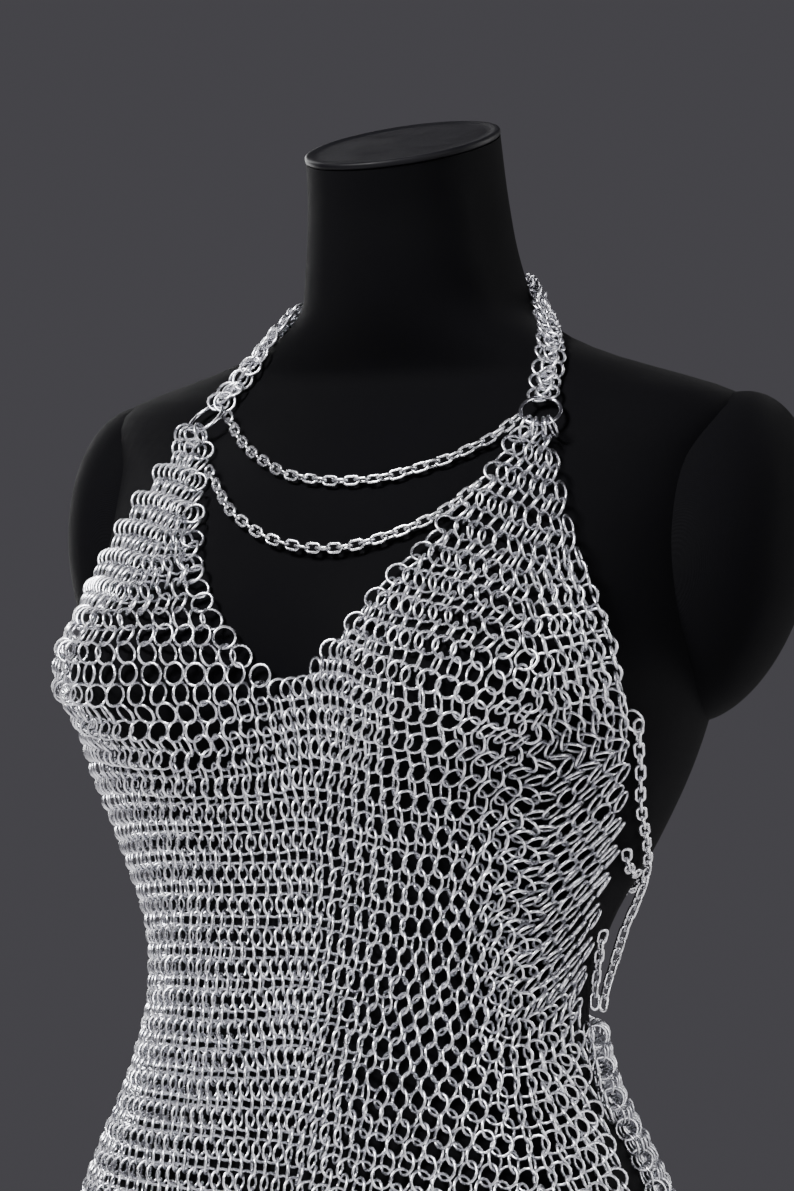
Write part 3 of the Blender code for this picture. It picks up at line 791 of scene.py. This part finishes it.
def o_ring_frame(side):
    """The large ring's middle, the two directions in its plane and the direction it faces."""
    centre = off_surface(TORSO, side * O_RING_ANGLE, O_RING_Z, O_RING_LIFT)
    normal = unit(np.array(O_RING_FACING) * (side, 1, 1))
    across = unit(np.cross(UPWARD, normal))
    return centre, across, np.cross(normal, across), normal


def hanging_rings(side):
    """The small rings that join the top of a cup to its large ring."""
    centre, across, up, normal = o_ring_frame(side)
    parts = []
    for turn in np.radians(HUNG_TURNS):
        reach = turned(-up, across, turn)
        middle = centre + reach * (O_RING_RADIUS + HUNG_REACH)
        parts.append(one_ring(middle, reach, np.cross(normal, reach), HUNG_SHAKE))
    return join_rings(parts)


def tie_ring(side):
    """The ring that holds the top of a side chain to the cup's edge."""
    angle, z = side * (SIDE_CHAIN[0].angle - TIE_BACK), SIDE_CHAIN[0].z + TIE_ABOVE
    middle = off_surface(DRESS, angle, z, MAIL_LIFT)
    out = out_of_surface(DRESS, angle, z)
    across = unit(np.cross(UPWARD, out))
    return one_ring(middle, across, unit(out + TIE_TILT * np.cross(out, across)), TIE_SHAKE)


def body_out(point):
    """The form's outward direction at a point near it."""
    away = point - np.array([0.0, along(TORSO, "shift", NAPE_Z), 0.0])
    angle = math.degrees(math.atan2(away[0], -away[1]))
    return out_of_surface(TORSO, angle, min(point[2], TORSO[-1].z))


STRAP_STEP = 0.001
STRAP_PITCH = 0.0083  # from one pair of rings to the next
STRAP_LOOK = 0.003  # how far ahead and behind a ring the strap's direction is read
STRAP_END = 0.0030  # from the nape ring's wire to the middle of the last ring
STRAP_LEAN = 20.0  # of a pair's rings, in degrees
STRAP_SINGLE_LEAN = -34.0
STRAP_SHAKE = 9.0
STRAP_LIFT_SHAKE = 0.0004
STRAP_PAIR = ((-0.0024, 0.0), (0.0024, 0.0006))  # each ring's shift along the pair, and its lift
STRAP_SETTLE = 0.0016  # how much nearer to the form the rings lie than the strap's route


def strap_ring(middle, out, across, forward, lean, shift, lift):
    """A ring of the halter, from the strap's own directions at its place."""
    lean = math.radians(lean + rng.normal(0, STRAP_SHAKE))
    nod = math.radians(rng.normal(0, STRAP_SHAKE))
    normal = unit(turned(turned(out, across, lean), forward, nod))
    flat = unit(np.cross(forward, normal))
    spot = middle + across * shift + out * (rng.normal(0, STRAP_LIFT_SHAKE) + lift - STRAP_SETTLE)
    return Rings(*single(spot, flat, np.cross(normal, flat), normal, spot[2]), rng.uniform(0, 1, 1))


def strap_rings(side):
    """The halter: pairs of rings side by side, joined by single rings between the pairs."""
    line = smooth_route(route_points(LEFT_STRAP if side > 0 else RIGHT_STRAP, side), STRAP_STEP)
    run = run_along(line)
    start, stop = O_RING_RADIUS + HUNG_REACH, run[-1] - NAPE_RADIUS - STRAP_END
    count = 2 * round((stop - start) / STRAP_PITCH) + 1
    parts = []
    for k, reach in enumerate(np.linspace(start, stop, count)):
        middle = point_at(line, run, reach)
        forward = unit(point_at(line, run, reach + STRAP_LOOK) - point_at(line, run, reach - STRAP_LOOK))
        across = unit(np.cross(forward, body_out(middle)))
        out = np.cross(across, forward)
        if k % 2 == 0:
            for shift, lift in STRAP_PAIR:
                parts.append(strap_ring(middle, out, across, forward, STRAP_LEAN, shift, lift))
        else:
            parts.append(strap_ring(middle, out, across, forward, STRAP_SINGLE_LEAN, 0.0, 0.0))
    return join_rings(parts)


# ---- chains
CHAIN_STEP = 0.0012
CHAIN_HOOK = 0.0030  # how far a drape chain's end links reach past its route
LINK_STEPS = 20  # points round a link, and round its wire
LINK_SIDES = 8
LINK_LOOK = 0.002  # as STRAP_LOOK, for a chain
LINK_SPARE = 0.001  # of a chain's length, without which it has one link less
LINK_ROLL = 18.0  # degrees from flat on the form
LINK_SHAKE = 6.0


def add_links(name, node, line):
    """The chain's links, each turned a quarter from the last, along a fine line."""
    run = run_along(line)
    count = round((run[-1] - LINK_SPARE) / LINK_PITCH)
    margin = (run[-1] - (count - 1) * LINK_PITCH) / 2
    reach = margin + LINK_PITCH * np.arange(count)
    middle = point_at(line, run, reach)
    forward = unit(point_at(line, run, reach + LINK_LOOK) - point_at(line, run, reach - LINK_LOOK))
    out = np.array([body_out(p) for p in middle])
    out = unit(out - np.sum(out * forward, axis=1, keepdims=True) * forward)
    side = np.cross(forward, out)
    turn = np.radians(LINK_ROLL + 90.0 * (np.arange(count) % 2) + rng.normal(0, LINK_SHAKE, count))
    normal = turned(out, side, turn)
    across = np.cross(forward, normal)
    outline, outward = stadium(LINK_HALF, LINK_RADIUS, LINK_STEPS)
    points, faces = many_loops(outline, outward, middle, across, forward, normal, LINK_WIRE, LINK_SIDES)
    made = make_mesh(name, points, faces, CHAIN)
    add_values(made.data, "tone", np.repeat(rng.uniform(0, 1, count), LINK_STEPS * LINK_SIDES))
    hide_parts(node)
    return made


def hooked(line):
    """A line with a short straight piece more at each end."""
    first = line[:1] + CHAIN_HOOK * unit(line[:1] - line[2:3])
    last = line[-1:] + CHAIN_HOOK * unit(line[-1:] - line[-3:-2])
    return np.concatenate([first, line, last])


def add_chain(name, node, points, hooks=False):
    line = smooth_route(points, CHAIN_STEP)
    made = add_links(name, node, hooked(line) if hooks else line)


# ---- materials
def feed(tree, node, **values):
    """Set a node's own settings, and its sockets to even values or to other nodes' outputs."""
    for name, value in values.items():
        if hasattr(node, name):
            setattr(node, name, value)
        elif isinstance(value, bpy.types.NodeSocket):
            tree.links.new(value, node.inputs[name.replace("_", " ")])
        else:
            node.inputs[name.replace("_", " ")].default_value = value


def add_node(tree, kind, **values):
    node = tree.nodes.new(kind)
    feed(tree, node, **values)
    return node


def new_material(name):
    """A material, its node tree and its shader."""
    made = bpy.data.materials.new(name)
    made.use_nodes = True
    return made, made.node_tree, made.node_tree.nodes["Principled BSDF"]


def object_place(tree):
    """The point's own place in metres."""
    return add_node(tree, "ShaderNodeTexCoord").outputs["Object"]


def noise(tree, place, scale, detail=3.0, roughness=0.5):
    values = {"Vector": place, "Scale": scale, "Detail": detail, "Roughness": roughness}
    return add_node(tree, "ShaderNodeTexNoise", **values).outputs["Fac"]


def ramp(tree, value, stops):
    node = add_node(tree, "ShaderNodeValToRGB", Fac=value)
    points = node.color_ramp.elements
    for extra in range(len(stops) - 2):
        points.new(0.5)
    for point, (spot, colour) in zip(points, stops):
        point.position = spot
        point.color = (*colour, 1.0)
    return node.outputs["Color"]


def spread(tree, value, low, high):
    """Noise, most of which lies between 0.3 and 0.7, spread from low to high."""
    limits = {"From_Min": 0.3, "From_Max": 0.7, "To_Min": low, "To_Max": high}
    return add_node(tree, "ShaderNodeMapRange", Value=value, **limits).outputs["Result"]


def multiply(tree, one, other, share=1.0):
    """One colour darkened or lightened by another, by a share."""
    values = {"data_type": "RGBA", "blend_type": "MULTIPLY", "Factor": share, "A": one, "B": other}
    return add_node(tree, "ShaderNodeMix", **values).outputs["Result"]


def bump(tree, height, strength, distance):
    values = {"Height": height, "Strength": strength, "Distance": distance}
    return add_node(tree, "ShaderNodeBump", **values).outputs["Normal"]


def wire_material(name, dark, bright, smooth, rough):
    """Bright drawn wire: each ring has its own tone, with dull patches and fine marks along it."""
    made, tree, shader = new_material(name)
    place = object_place(tree)
    tone = add_node(tree, "ShaderNodeAttribute", attribute_name="tone").outputs["Fac"]
    own = ramp(tree, tone, ((0.0, dark), (0.35, bright), (1.0, bright)))
    patches = ramp(tree, noise(tree, place, 160.0), ((0.35, (0.80,) * 3), (0.62, (1.0,) * 3)))
    colour = multiply(tree, own, patches)
    wear = spread(tree, noise(tree, place, 420.0, 4.0, 0.6), smooth, rough)
    marks = bump(tree, noise(tree, place, 2600.0, 2.0), 0.18, 0.0003)
    feed(tree, shader, Metallic=1.0, Base_Color=colour, Roughness=wear, Normal=marks)
    return made


def jersey_material():
    """Black cotton jersey: fine ribs, a faint bloom and lint."""
    made, tree, shader = new_material("black_jersey")
    place = object_place(tree)
    bloom = noise(tree, place, 9.0, 4.0, 0.6)
    black = ramp(tree, bloom, ((0.3, (0.0007, 0.0007, 0.0011)), (0.72, (0.0015, 0.0014, 0.0021))))
    fleck = noise(tree, place, 1500.0, 2.0, 0.6)
    lint = ramp(tree, fleck, ((0.35, (0.72,) * 3), (0.8, (1.5,) * 3)))
    wale = add_node(tree, "ShaderNodeAttribute", attribute_name="wale").outputs["Fac"]
    bands = {"wave_type": "BANDS", "bands_direction": "X", "Scale": 1.0, "Vector": wale}
    rib = add_node(tree, "ShaderNodeTexWave", **bands).outputs["Color"]
    skin = bump(tree, multiply(tree, rib, lint, 0.6), 0.35, 0.0003)
    colour, worn = multiply(tree, black, lint), spread(tree, bloom, 0.72, 0.92)
    feed(tree, shader, Metallic=0.0, Specular_IOR_Level=0.05, Sheen_Weight=0.01, Sheen_Roughness=0.45)
    feed(tree, shader, Base_Color=colour, Roughness=worn, Normal=skin)
    return made


Grain = namedtuple("Grain", "scale detail strength depth")


def painted_material(name, even, worn, colours, rough, grain=None):
    """Paint whose colour and gloss vary with its wear, and whose skin has a fine grain."""
    made, tree, shader = new_material(name)
    place = object_place(tree)
    wear = noise(tree, place, *worn)
    feed(tree, shader, Base_Color=ramp(tree, wear, colours), Roughness=spread(tree, wear, *rough), **even)
    if grain:
        skin = noise(tree, place, grain.scale, grain.detail)
        feed(tree, shader, Normal=bump(tree, skin, grain.strength, grain.depth))
    return made


def plate_material():
    """The neck's painted plate: near black, a little glossy, brushed by handling."""
    even = {"Metallic": 0.0, "Specular_IOR_Level": 0.12}
    colours = ((0.35, (0.0030, 0.0029, 0.0040)), (0.7, (0.0054, 0.0052, 0.0068)))
    grain = Grain(900.0, 3.0, 0.15, 0.0003)
    return painted_material("cap_plate", even, (60.0, 5.0, 0.6), colours, (0.42, 0.62), grain)


def steel_material():
    """The stand's powder-coated steel: satin black with an orange-peel skin and rubbed patches."""
    even = {"Metallic": 0.25, "Specular_IOR_Level": 0.5}
    colours = ((0.35, (0.014, 0.014, 0.016)), (0.72, (0.030, 0.030, 0.034)))
    grain = Grain(700.0, 2.0, 0.25, 0.0004)
    return painted_material("stand_steel", even, (24.0, 5.0, 0.65), colours, (0.34, 0.52), grain)


def floor_material():
    colours = ((0.3, (0.70, 0.69, 0.70)), (0.7, (0.76, 0.75, 0.76)))
    return painted_material("floor_paint", {"Metallic": 0.0}, (3.0,), colours, (0.6, 0.75))


# ---- the form and its stand
FORM_COLUMNS = 144
FORM_STEP = 0.006  # between its rows of points
FORM_RADIUS = 0.13  # a mean, by which the torso's ribs are spaced
WALE = 0.0011  # between two ribs
FORM_CREASE = math.radians(50)  # edges sharper than this stay sharp
PLATE_CREASE = math.radians(40)

CAP_FOOT = 0.0003  # from the neck's top to the plate's underside
CAP_ROLL = 0.0014
CAP_SINK = 0.0007  # of the plate's face below its rolled rim
ARM_STEPS, ARM_ROUND = 56, 96
ARM_POLE = 0.03  # radians from the stub's tip to its first row
ARM_TUCK = 0.45  # radians from its widest row to its last, inside the torso

RingShape = namedtuple("RingShape", "radius wire steps sides")
O_RING = RingShape(O_RING_RADIUS, O_RING_WIRE, 72, 16)
NAPE_RING = RingShape(NAPE_RADIUS, NAPE_WIRE, 40, 12)
NAPE_LIFT = 0.0060


def leaned(points, z):
    """Neck points raised or lowered so that the neck's top leans forward."""
    share = np.clip((z - NECK_LEAN_FROM) / (NECK_TOP - NECK_LEAN_FROM), 0.0, 1.0)
    points[..., 2] += math.tan(NECK_TILT) * (points[..., 1] - along(TORSO, "shift", z)) * share
    return points


def ring_stack(rows):
    """Points and faces of stacked rings, with a fan of four-sided faces over each end."""
    count, around = rows.shape[:2]
    i, j = np.meshgrid(np.arange(count - 1), np.arange(around), indexing="ij")
    k = (j + 1) % around
    faces = np.stack([i * around + j, i * around + k, (i + 1) * around + k, (i + 1) * around + j], -1)
    ends = []
    for base, flip in ((0, True), ((count - 1) * around, False)):
        for m in range(around // 2 - 1):
            quad = [base + m, base + m + 1, base + around - m - 2, base + around - m - 1]
            ends.append(quad[::-1] if flip else quad)
    return rows.reshape(-1, 3), np.concatenate([faces.reshape(-1, 4), np.array(ends)])


def add_torso():
    heights = []
    for low, high in zip(TORSO, TORSO[1:]):
        count = max(2, round((high.z - low.z) / FORM_STEP))
        heights += list(np.linspace(low.z, high.z, count + 1)[:-1])
    heights = np.array(heights + [TORSO[-1].z])[:, None]
    angles = np.linspace(0, 360, FORM_COLUMNS, endpoint=False)
    rows = leaned(on_surface(TORSO, angles, heights), heights)
    points, faces = ring_stack(rows)
    made = make_mesh("form_body", points, faces, JERSEY)
    wale = np.radians(np.abs(round_the_body(angles))) * FORM_RADIUS / WALE
    add_values(made.data, "wale", np.tile(wale, len(heights)))
    made.data.set_sharp_from_angle(angle=FORM_CREASE)
    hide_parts("form_torso")


def add_neck_cap():
    """The flat plate that closes the neck, with a rolled rim that stands out a little."""
    top = TORSO[-1]
    half = top.half + CAP_OVER
    depth = (top.front + top.back) / 2 / math.cos(NECK_TILT) + CAP_OVER
    profile = [(-0.0035, CAP_FOOT), (-0.0006, CAP_FOOT)]
    for a in np.radians(np.arange(-90, 91, 22.5)):
        middle = CAP_FOOT + CAP_ROLL if a < 0 else CAP_THICK - CAP_ROLL
        profile.append((-CAP_ROLL + CAP_ROLL * math.cos(a), middle + CAP_ROLL * math.sin(a)))
    face = CAP_THICK - CAP_SINK
    profile += [(-0.0030, CAP_THICK), (-0.0042, face), (-0.0080, face)]
    a = math.tau * np.arange(FORM_COLUMNS) / FORM_COLUMNS
    out, level = np.array(profile).T[:, :, None]
    rows = np.stack([(half + out) * np.sin(a), -(depth + out) * np.cos(a), level + 0 * a], -1)
    turn = np.array(Matrix.Rotation(NECK_TILT, 3, "X"))
    rows = rows @ turn.T + np.array([0.0, top.shift, top.z])
    points, faces = ring_stack(rows)
    made = make_mesh("neck_plate", points, faces, PLATE)
    made.data.set_sharp_from_angle(angle=PLATE_CREASE)
    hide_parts("form_neck_cap")


def add_arm(word, side):
    """The rounded stub of the shoulder, whose edge against the torso is the armhole seam."""
    polar = np.linspace(ARM_POLE, math.pi / 2 + ARM_TUCK, ARM_STEPS)[:, None]
    turn = math.tau * np.arange(ARM_ROUND) / ARM_ROUND
    wide = np.sin(polar)
    place = np.stack([np.cos(polar) + 0 * turn, wide * np.cos(turn), wide * np.sin(turn)], -1)
    place = place * np.array(ARM_SIZE)
    place = place + place[..., 2:] * np.array([*ARM_LEAN, 0.0]) + np.array(ARM_MIDDLE)
    points, faces = ring_stack(place * np.array([side, 1, 1]))
    if side < 0:
        faces = faces[:, ::-1]
    made = make_mesh(f"arm_stub_{word}", points, faces, JERSEY)
    add_values(made.data, "wale", points[:, 1] / WALE)
    made.data.set_sharp_from_angle(angle=FORM_CREASE)
    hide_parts(f"form_arm_{word}")


def finish_stand():
    for name in ("stand_collar", "stand_pole", "stand_base"):
        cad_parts[name].material_slots[0].material = STEEL


def add_large_ring(name, node, shape, place):
    outline, outward = circle(shape.radius, shape.steps)
    points, faces = many_loops(outline, outward, *single(*place), shape.wire, shape.sides)
    made = make_mesh(name, points, faces, RING_STEEL)
    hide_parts(node)


def add_large_rings():
    for word, side in SIDES:
        add_large_ring(f"large_ring_{word}", f"o_ring_{word}", O_RING, o_ring_frame(side))
    centre = off_surface(TORSO, 180.0, NAPE_Z, NAPE_LIFT)
    out = out_of_surface(TORSO, 180.0, NAPE_Z)
    across = unit(np.cross(UPWARD, out))
    add_large_ring("nape_loop", "nape_ring", NAPE_RING, (centre, across, np.cross(out, across), out))


# ---- the dress
MIDDLE_ROOM = 1e-4  # rings this close to the middle plane belong to the wearer's left half
JOIN_FOOT_ROOM = 0.004
JOIN_TOP_ROOM = 0.002
JOIN_HALF = 2.2  # degrees to each side of the join, where its rows' direction is read


def in_piece(rings, side, low=0.0, high=math.inf):
    own = (rings.middle[:, 0] >= -MIDDLE_ROOM) == (side > 0)
    return pick_rings(rings, own & (rings.height >= low) & (rings.height < high))


def join_column(side):
    """The single column of rings that joins the front to the back below the waist."""
    z = np.arange(JOIN_FOOT_Z + JOIN_FOOT_ROOM, WAIST_Z - JOIN_TOP_ROOM, ROW_PITCH)
    middle = (edge_at(FRONT_SIDE, z) + edge_at(BACK_SIDE, z)) / 2 * side
    before = off_surface(DRESS, middle - side * JOIN_HALF, z, MAIL_LIFT)
    after = off_surface(DRESS, middle + side * JOIN_HALF, z, MAIL_LIFT)
    return place_rings(middle, z, before, after, 1)


def add_front():
    weave = Weave(
        lambda z: -edge_at(FRONT_SIDE, z),
        lambda z: edge_at(FRONT_SIDE, z),
        FRONT_COLUMNS,
        FRONT_CROWDS,
        ROW_CROWDS,
        drop_of_front,
        HEM_Z + HEM_INSET,
        CUP_TOP_Z,
    )
    rings = weave_rings(weave, in_front)
    for word, side in SIDES:
        cup = join_rings([in_piece(rings, side, UNDERBUST_Z), hanging_rings(side), tie_ring(side)])
        add_mail(f"cup_mail_{word}", cup, [f"cup_{word}"], CUP)
        bodice = in_piece(rings, side, WAIST_Z, UNDERBUST_Z)
        add_mail(f"bodice_mail_{word}", bodice, [f"bodice_{word}"], BODICE)
        skirt = join_rings([in_piece(rings, side, high=WAIST_Z), join_column(side)])
        nodes = [f"skirt_front_{word}", f"side_join_{word}"]
        add_mail(f"skirt_mail_{word}", skirt, nodes, SKIRT_FRONT)


def add_back():
    weave = Weave(
        lambda z: edge_at(BACK_SIDE, z),
        lambda z: 360.0 - edge_at(BACK_SIDE, z),
        BACK_COLUMNS,
        [],
        [],
        no_drop,
        HEM_Z + HEM_INSET,
        WAIST_Z - BACK_TOP_INSET,
    )
    rings = weave_rings(weave, anywhere)
    for word, side in SIDES:
        add_mail(f"skirt_back_mail_{word}", in_piece(rings, side), ["skirt_back"], SKIRT_BACK)


def add_straps():
    width, length = STRAP.flat
    for word, side in SIDES:
        nodes = [f"halter_{word}"]
        add_mail(f"halter_mail_{word}", strap_rings(side), nodes, STRAP, area=width * length)


def add_chains():
    for word, stops in (("upper", UPPER_DRAPE), ("lower", LOWER_DRAPE)):
        add_chain(f"drape_links_{word}", f"drape_chain_{word}", route_points(stops), hooks=True)
    for word, side in SIDES:
        line = smooth_route(route_points(SIDE_LINK, side), CHAIN_STEP)
        tie = add_links(f"side_tie_{word}", f"side_link_{word}", line)
        chain = route_points(SIDE_CHAIN, side)
        add_chain(f"side_links_{word}", f"side_chain_{word}", chain)
        add_chain(f"lace_links_{word}", f"side_lace_{word}", route_points(SIDE_LACE, side))
    half = route_points(BACK_CHAIN_HALF)
    other = route_points(BACK_CHAIN_HALF, -1)[::-1]
    add_chain("back_links", "back_chain", half + route_points([BACK_CHAIN_MIDDLE]) + other)


# ---- camera, floor and light
CAMERA_AZIMUTH = math.radians(28.0)
CAMERA_BACK = 2.0
CAMERA_ASIDE = 0.010
CAMERA_UP = 1.242
CAMERA_LENS = 120.9
FLOOR_RADIUS = 5.8
FLOOR_SIDES = 96
FLOOR_GAP = 0.0002  # between the floor and the stand's underside
ROOM_COLOUR = (0.16, 0.155, 0.175, 1.0)
ROOM_LIGHT = 0.42
CHEST = Vector((0.0, 0.0, 1.18))

# The lights, all of which face the chest.
Softbox = namedtuple("Softbox", "name place width height power")
SOFTBOXES = table(
    Softbox,
    ("key", (-0.75, -2.2, 3.2), 0.9, 0.9, 250),
    ("fill", (2.6, -1.0, 1.5), 1.0, 1.6, 40),
    ("rim", (-1.9, 1.4, 1.9), 0.9, 1.8, 40),
    ("back", (1.6, 2.2, 1.8), 0.9, 1.8, 40),
)


def add_camera():
    sine, cosine = math.sin(CAMERA_AZIMUTH), math.cos(CAMERA_AZIMUTH)
    aim, right = Vector((-sine, cosine, 0.0)), Vector((cosine, sine, 0.0))
    data = bpy.data.cameras.new("camera")
    data.lens = CAMERA_LENS
    camera = bpy.data.objects.new("camera", data)
    camera.location = -CAMERA_BACK * aim + CAMERA_ASIDE * right + Vector((0.0, 0.0, CAMERA_UP))
    camera.rotation_euler = (math.radians(90.0), 0.0, CAMERA_AZIMUTH)
    bpy.context.scene.collection.objects.link(camera)
    bpy.context.scene.camera = camera


def add_softbox(box):
    data = bpy.data.lights.new(box.name, "AREA")
    data.shape = "RECTANGLE"
    data.size = box.width
    data.size_y = box.height
    data.energy = box.power
    lamp = bpy.data.objects.new(box.name, data)
    lamp.location = box.place
    lamp.rotation_euler = (CHEST - Vector(box.place)).to_track_quat("-Z", "Y").to_euler()
    bpy.context.scene.collection.objects.link(lamp)


def add_studio():
    turns = math.tau * np.arange(FLOOR_SIDES) / FLOOR_SIDES
    rim = [(FLOOR_RADIUS * math.cos(a), FLOOR_RADIUS * math.sin(a), -FLOOR_GAP) for a in turns]
    mesh = bpy.data.meshes.new("floor")
    mesh.from_pydata(rim, [], [tuple(range(FLOOR_SIDES))])
    floor = bpy.data.objects.new("floor", mesh)
    mesh.materials.append(floor_material())
    bpy.context.scene.collection.objects.link(floor)

    world = bpy.data.worlds.new("studio")
    world.use_nodes = True
    light = world.node_tree.nodes["Background"]
    feed(world.node_tree, light, Color=ROOM_COLOUR, Strength=ROOM_LIGHT)
    bpy.context.scene.world = world
    for box in SOFTBOXES:
        add_softbox(box)


add_camera()
add_studio()
MAIL = wire_material("bright_mail", (0.66, 0.66, 0.71), (0.90, 0.90, 0.95), 0.20, 0.38)
CHAIN = wire_material("bright_chain", (0.82, 0.82, 0.87), (0.95, 0.95, 0.98), 0.18, 0.34)
RING_STEEL = wire_material("ring_steel", (0.66, 0.66, 0.71), (0.72, 0.72, 0.77), 0.14, 0.26)
JERSEY = jersey_material()
PLATE = plate_material()
STEEL = steel_material()
add_chains()
add_large_rings()
add_straps()
add_front()
add_back()
add_torso()
add_neck_cap()
for word, side in SIDES:
    add_arm(word, side)
finish_stand()
